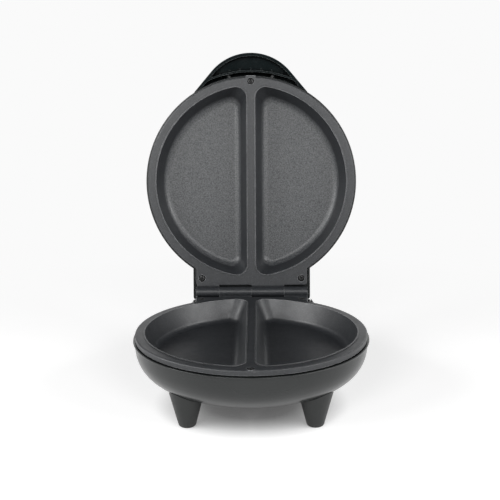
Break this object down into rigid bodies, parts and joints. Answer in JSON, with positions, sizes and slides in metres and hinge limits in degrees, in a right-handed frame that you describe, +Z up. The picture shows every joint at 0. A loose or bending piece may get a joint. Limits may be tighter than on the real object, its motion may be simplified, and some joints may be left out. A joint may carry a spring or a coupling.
{
  "type": "electric omelette maker",
  "caption": "Countertop omelette maker: round non-stick plates with D-shaped wells in a bowl-shaped base and a hinged domed lid with a crescent grip, on cone feet.",
  "frame": {"origin": "on the worktop, under the middle of the round base", "axes": "+X to the user's right, +Y from the front to the hinge, +Z up"},
  "size_m": [0.224, 0.3007, 0.3242],
  "materials": {
    "casing": "satin black heat-proof moulding",
    "grip": "polished black moulding",
    "nonstick": "die-cast, dark grey non-stick coating with a fine speckle",
    "foot": "fine matt moulding",
    "dark_screw": "blackened steel",
    "bright_steel": "zinc-plated steel",
    "element_sheath": "heat-darkened steel tube",
    "bead": "unglazed ceramic",
    "brass": "plain",
    "inner_plastic": "plain heat-proof moulding",
    "rubber": "smooth",
    "wire": "silicone insulation",
    "red_lens": "clear red plastic",
    "green_lens": "clear green plastic",
    "lamp": "clear tube"
  },
  "bodies": {
    "base": {"base_shell": "casing", "base_plate": "nonstick", "base_heating_element": "element_sheath", "base_element_terminals": "bead", "base_element_clips": "bright_steel", "base_heat_shield": "bright_steel", "base_shield_screws": "bright_steel", "base_plate_screws": "dark_screw", "thermostat": "inner_plastic", "thermostat_screws": "bright_steel", "thermal_fuse": "bead", "thermal_fuse_clip": "bright_steel", "terminal_block": "inner_plastic", "terminal_screws": "brass", "base_leads": "wire", "cord_inlet_bush": "rubber", "foot_front_left": "foot", "foot_front_right": "foot", "foot_rear_left": "foot", "foot_rear_right": "foot", "foot_screws": "bright_steel", "hinge_pin": "bright_steel"},
    "lid": {"lid_shell": "casing", "lid_plate": "nonstick", "lid_heating_element": "element_sheath", "lid_element_terminals": "bead", "lid_element_clips": "bright_steel", "lid_heat_shield": "bright_steel", "lid_shield_screws": "bright_steel", "lid_plate_screws": "dark_screw", "lid_terminal_block": "inner_plastic", "lid_terminal_screws": "brass", "lid_leads": "wire", "lid_handle": "grip", "handle_screws": "bright_steel", "power_lens": "red_lens", "ready_lens": "green_lens", "indicator_lamps": "lamp"}
  },
  "joints": [
    {"name": "lid_hinge", "type": "hinge", "parent": "base", "child": "lid", "pos_m": [0, 0.1179, 0.07565], "axis": [1, 0, 0], "range_deg": [0, 101]}
  ]
}
